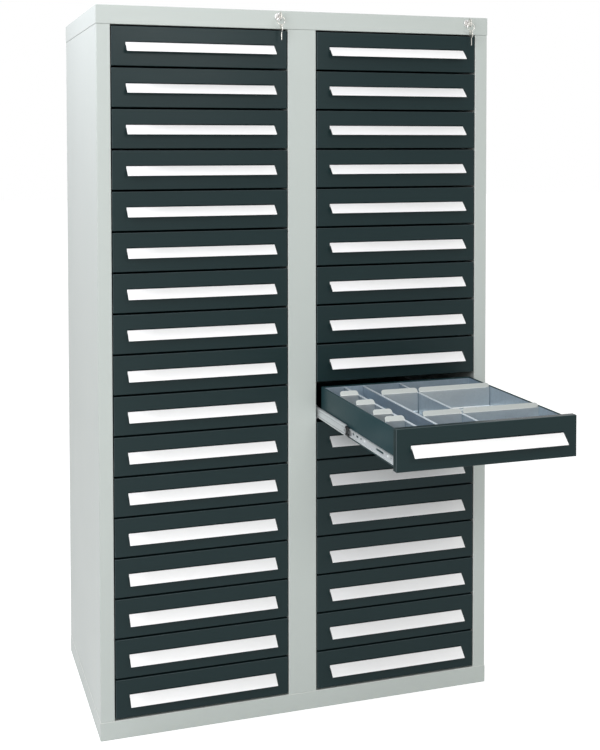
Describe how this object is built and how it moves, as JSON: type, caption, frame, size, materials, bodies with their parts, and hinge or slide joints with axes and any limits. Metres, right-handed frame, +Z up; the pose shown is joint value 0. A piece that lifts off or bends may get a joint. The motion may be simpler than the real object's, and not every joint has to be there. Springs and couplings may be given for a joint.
{
  "type": "industrial drawer cabinet",
  "caption": "Tall free-standing steel cabinet with columns of shallow drawers on full-extension slides, key locks in its top rail and a divider insert in the open drawer.",
  "frame": {"origin": "on the floor, in the middle of the base's underside", "axes": "+X to the viewer's right, +Y from the drawer fronts to the back, +Z up"},
  "size_m": [1.0424, 1.104, 1.796],
  "materials": {
    "body_grey": "satin light grey powder coat",
    "front_anthracite": "satin anthracite powder coat",
    "grip_aluminium": "bright anodised",
    "slide_zinc": "bright zinc plate",
    "divider_zinc": "zinc-coated sheet",
    "lock_chrome": "polished",
    "key_nickel": "nickel plate"
  },
  "bodies": {
    "cabinet": {"base_plinth": "body_grey", "top_cover": "body_grey", "side_panel_left": "body_grey", "side_panel_right": "body_grey", "centre_post": "body_grey", "back_panel": "body_grey", "lock_barrel_left": "lock_chrome", "lock_barrel_right": "lock_chrome"},
    "drawer_left_01": {"drawer_left_01": "front_anthracite"},
    "drawer_left_02": {"drawer_left_02": "front_anthracite"},
    "drawer_left_03": {"drawer_left_03": "front_anthracite"},
    "drawer_left_04": {"drawer_left_04": "front_anthracite"},
    "drawer_left_05": {"drawer_left_05": "front_anthracite"},
    "drawer_left_06": {"drawer_left_06": "front_anthracite"},
    "drawer_left_07": {"drawer_left_07": "front_anthracite"},
    "drawer_left_08": {"drawer_left_08": "front_anthracite"},
    "drawer_left_09": {"drawer_left_09": "front_anthracite"},
    "drawer_left_10": {"drawer_left_10": "front_anthracite"},
    "drawer_left_11": {"drawer_left_11": "front_anthracite"},
    "drawer_left_12": {"drawer_left_12": "front_anthracite"},
    "drawer_left_13": {"drawer_left_13": "front_anthracite"},
    "drawer_left_14": {"drawer_left_14": "front_anthracite"},
    "drawer_left_15": {"drawer_left_15": "front_anthracite"},
    "drawer_left_16": {"drawer_left_16": "front_anthracite"},
    "drawer_left_17": {"drawer_left_17": "front_anthracite"},
    "drawer_right_01": {"drawer_right_01": "front_anthracite"},
    "drawer_right_02": {"drawer_right_02": "front_anthracite"},
    "drawer_right_03": {"drawer_right_03": "front_anthracite"},
    "drawer_right_04": {"drawer_right_04": "front_anthracite"},
    "drawer_right_05": {"drawer_right_05": "front_anthracite"},
    "drawer_right_06": {"drawer_right_06": "front_anthracite"},
    "drawer_right_07": {"drawer_right_07": "front_anthracite"},
    "drawer_right_08": {"drawer_right_08": "front_anthracite"},
    "drawer_right_09": {"drawer_right_09": "front_anthracite"},
    "drawer_right_11": {"drawer_right_11": "front_anthracite"},
    "drawer_right_12": {"drawer_right_12": "front_anthracite"},
    "drawer_right_13": {"drawer_right_13": "front_anthracite"},
    "drawer_right_14": {"drawer_right_14": "front_anthracite"},
    "drawer_right_15": {"drawer_right_15": "front_anthracite"},
    "drawer_right_16": {"drawer_right_16": "front_anthracite"},
    "drawer_right_17": {"drawer_right_17": "front_anthracite"},
    "open_drawer": {"open_drawer_front": "front_anthracite", "open_drawer_tray": "front_anthracite", "open_drawer_grip": "grip_aluminium", "slide_drawer_member_left": "slide_zinc", "slide_drawer_member_right": "slide_zinc", "divider_narrow_row": "divider_zinc", "divider_plain": "divider_zinc", "divider_wide_rows": "divider_zinc"},
    "middle_slides": {"slide_middle_member_left": "slide_zinc", "slide_middle_member_right": "slide_zinc"},
    "key_left": {"key_left": "key_nickel", "lock_plug_left": "lock_chrome"},
    "spare_key_left": {"spare_key_left": "key_nickel"},
    "lock_bar_left": {"lock_bar_left": "slide_zinc"},
    "key_right": {"key_right": "key_nickel", "lock_plug_right": "lock_chrome"},
    "spare_key_right": {"spare_key_right": "key_nickel"},
    "lock_bar_right": {"lock_bar_right": "slide_zinc"}
  },
  "joints": [
    {"name": "drawer_left_01_slide", "type": "slide", "parent": "cabinet", "child": "drawer_left_01", "axis": [0, -1, 0], "range_m": [0, 0.52]},
    {"name": "drawer_left_02_slide", "type": "slide", "parent": "cabinet", "child": "drawer_left_02", "axis": [0, -1, 0], "range_m": [0, 0.52]},
    {"name": "drawer_left_03_slide", "type": "slide", "parent": "cabinet", "child": "drawer_left_03", "axis": [0, -1, 0], "range_m": [0, 0.52]},
    {"name": "drawer_left_04_slide", "type": "slide", "parent": "cabinet", "child": "drawer_left_04", "axis": [0, -1, 0], "range_m": [0, 0.52]},
    {"name": "drawer_left_05_slide", "type": "slide", "parent": "cabinet", "child": "drawer_left_05", "axis": [0, -1, 0], "range_m": [0, 0.52]},
    {"name": "drawer_left_06_slide", "type": "slide", "parent": "cabinet", "child": "drawer_left_06", "axis": [0, -1, 0], "range_m": [0, 0.52]},
    {"name": "drawer_left_07_slide", "type": "slide", "parent": "cabinet", "child": "drawer_left_07", "axis": [0, -1, 0], "range_m": [0, 0.52]},
    {"name": "drawer_left_08_slide", "type": "slide", "parent": "cabinet", "child": "drawer_left_08", "axis": [0, -1, 0], "range_m": [0, 0.52]},
    {"name": "drawer_left_09_slide", "type": "slide", "parent": "cabinet", "child": "drawer_left_09", "axis": [0, -1, 0], "range_m": [0, 0.52]},
    {"name": "drawer_left_10_slide", "type": "slide", "parent": "cabinet", "child": "drawer_left_10", "axis": [0, -1, 0], "range_m": [0, 0.52]},
    {"name": "drawer_left_11_slide", "type": "slide", "parent": "cabinet", "child": "drawer_left_11", "axis": [0, -1, 0], "range_m": [0, 0.52]},
    {"name": "drawer_left_12_slide", "type": "slide", "parent": "cabinet", "child": "drawer_left_12", "axis": [0, -1, 0], "range_m": [0, 0.52]},
    {"name": "drawer_left_13_slide", "type": "slide", "parent": "cabinet", "child": "drawer_left_13", "axis": [0, -1, 0], "range_m": [0, 0.52]},
    {"name": "drawer_left_14_slide", "type": "slide", "parent": "cabinet", "child": "drawer_left_14", "axis": [0, -1, 0], "range_m": [0, 0.52]},
    {"name": "drawer_left_15_slide", "type": "slide", "parent": "cabinet", "child": "drawer_left_15", "axis": [0, -1, 0], "range_m": [0, 0.52]},
    {"name": "drawer_left_16_slide", "type": "slide", "parent": "cabinet", "child": "drawer_left_16", "axis": [0, -1, 0], "range_m": [0, 0.52]},
    {"name": "drawer_left_17_slide", "type": "slide", "parent": "cabinet", "child": "drawer_left_17", "axis": [0, -1, 0], "range_m": [0, 0.52]},
    {"name": "drawer_right_01_slide", "type": "slide", "parent": "cabinet", "child": "drawer_right_01", "axis": [0, -1, 0], "range_m": [0, 0.52]},
    {"name": "drawer_right_02_slide", "type": "slide", "parent": "cabinet", "child": "drawer_right_02", "axis": [0, -1, 0], "range_m": [0, 0.52]},
    {"name": "drawer_right_03_slide", "type": "slide", "parent": "cabinet", "child": "drawer_right_03", "axis": [0, -1, 0], "range_m": [0, 0.52]},
    {"name": "drawer_right_04_slide", "type": "slide", "parent": "cabinet", "child": "drawer_right_04", "axis": [0, -1, 0], "range_m": [0, 0.52]},
    {"name": "drawer_right_05_slide", "type": "slide", "parent": "cabinet", "child": "drawer_right_05", "axis": [0, -1, 0], "range_m": [0, 0.52]},
    {"name": "drawer_right_06_slide", "type": "slide", "parent": "cabinet", "child": "drawer_right_06", "axis": [0, -1, 0], "range_m": [0, 0.52]},
    {"name": "drawer_right_07_slide", "type": "slide", "parent": "cabinet", "child": "drawer_right_07", "axis": [0, -1, 0], "range_m": [0, 0.52]},
    {"name": "drawer_right_08_slide", "type": "slide", "parent": "cabinet", "child": "drawer_right_08", "axis": [0, -1, 0], "range_m": [0, 0.52]},
    {"name": "drawer_right_09_slide", "type": "slide", "parent": "cabinet", "child": "drawer_right_09", "axis": [0, -1, 0], "range_m": [0, 0.52]},
    {"name": "drawer_right_11_slide", "type": "slide", "parent": "cabinet", "child": "drawer_right_11", "axis": [0, -1, 0], "range_m": [0, 0.52]},
    {"name": "drawer_right_12_slide", "type": "slide", "parent": "cabinet", "child": "drawer_right_12", "axis": [0, -1, 0], "range_m": [0, 0.52]},
    {"name": "drawer_right_13_slide", "type": "slide", "parent": "cabinet", "child": "drawer_right_13", "axis": [0, -1, 0], "range_m": [0, 0.52]},
    {"name": "drawer_right_14_slide", "type": "slide", "parent": "cabinet", "child": "drawer_right_14", "axis": [0, -1, 0], "range_m": [0, 0.52]},
    {"name": "drawer_right_15_slide", "type": "slide", "parent": "cabinet", "child": "drawer_right_15", "axis": [0, -1, 0], "range_m": [0, 0.52]},
    {"name": "drawer_right_16_slide", "type": "slide", "parent": "cabinet", "child": "drawer_right_16", "axis": [0, -1, 0], "range_m": [0, 0.52]},
    {"name": "drawer_right_17_slide", "type": "slide", "parent": "cabinet", "child": "drawer_right_17", "axis": [0, -1, 0], "range_m": [0, 0.52]},
    {"name": "open_drawer_slide", "type": "slide", "parent": "cabinet", "child": "open_drawer", "axis": [0, -1, 0], "range_m": [-0.52, 0]},
    {"name": "middle_slides_slide", "type": "slide", "parent": "cabinet", "child": "middle_slides", "axis": [0, -1, 0], "range_m": [-0.2184, 0]},
    {"name": "key_left_turn", "type": "hinge", "parent": "cabinet", "child": "key_left", "pos_m": [-0.0625, -0.28, 1.78], "axis": [0, 1, 0], "range_deg": [0, 90]},
    {"name": "spare_key_left_swing", "type": "hinge", "parent": "key_left", "child": "spare_key_left", "pos_m": [-0.0625, -0.3043, 1.7781], "axis": [-1, 0, 0], "range_deg": [0, 60]},
    {"name": "lock_bar_left_slide", "type": "slide", "parent": "cabinet", "child": "lock_bar_left", "axis": [0, 0, -1], "range_m": [0, 0.01414]},
    {"name": "key_right_turn", "type": "hinge", "parent": "cabinet", "child": "key_right", "pos_m": [0.4605, -0.28, 1.78], "axis": [0, 1, 0], "range_deg": [0, 90]},
    {"name": "spare_key_right_swing", "type": "hinge", "parent": "key_right", "child": "spare_key_right", "pos_m": [0.4605, -0.3043, 1.7781], "axis": [-1, 0, 0], "range_deg": [0, 60]},
    {"name": "lock_bar_right_slide", "type": "slide", "parent": "cabinet", "child": "lock_bar_right", "axis": [0, 0, -1], "range_m": [0, 0.01414]}
  ],
  "couplings": [
    {"joint": "middle_slides_slide", "follows": "open_drawer_slide", "ratio": 0.42},
    {"joint": "key_left_turn", "follows": "lock_bar_left_slide", "rad_per_m": 111.07},
    {"joint": "key_right_turn", "follows": "lock_bar_right_slide", "rad_per_m": 111.07}
  ]
}
